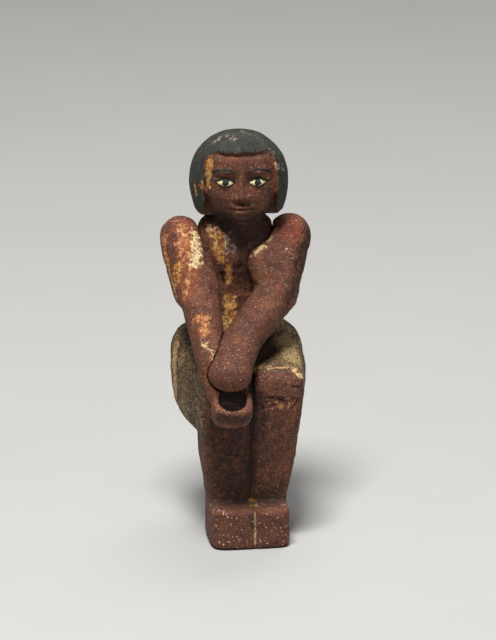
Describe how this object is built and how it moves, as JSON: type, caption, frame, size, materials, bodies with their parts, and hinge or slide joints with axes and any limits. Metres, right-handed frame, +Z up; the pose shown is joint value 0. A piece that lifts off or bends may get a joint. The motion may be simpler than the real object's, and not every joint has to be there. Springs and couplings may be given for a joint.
{
  "type": "seated sailor figure",
  "caption": "Carved and painted wooden boat-model crew figure, seated, both arms reaching forward to a pierced fist before its right knee.",
  "frame": {"origin": "middle of the underside of the whole figure's box, on the ground", "axes": "+X to the figure's left, +Y to its back, +Z up"},
  "size_m": [0.0448, 0.0586, 0.1155],
  "materials": {
    "painted_body": "old matt paint over gesso on carved wood: red-brown skin, dark green-grey hair, soiled olive-white kilt, worn through in places",
    "painted_arms": "old matt red-brown paint over gesso on carved wood, flaked to cream and ochre at the right shoulder"
  },
  "bodies": {
    "root": {"body": "painted_body", "right_arm": "painted_arms", "left_arm": "painted_arms"}
  },
  "joints": []
}
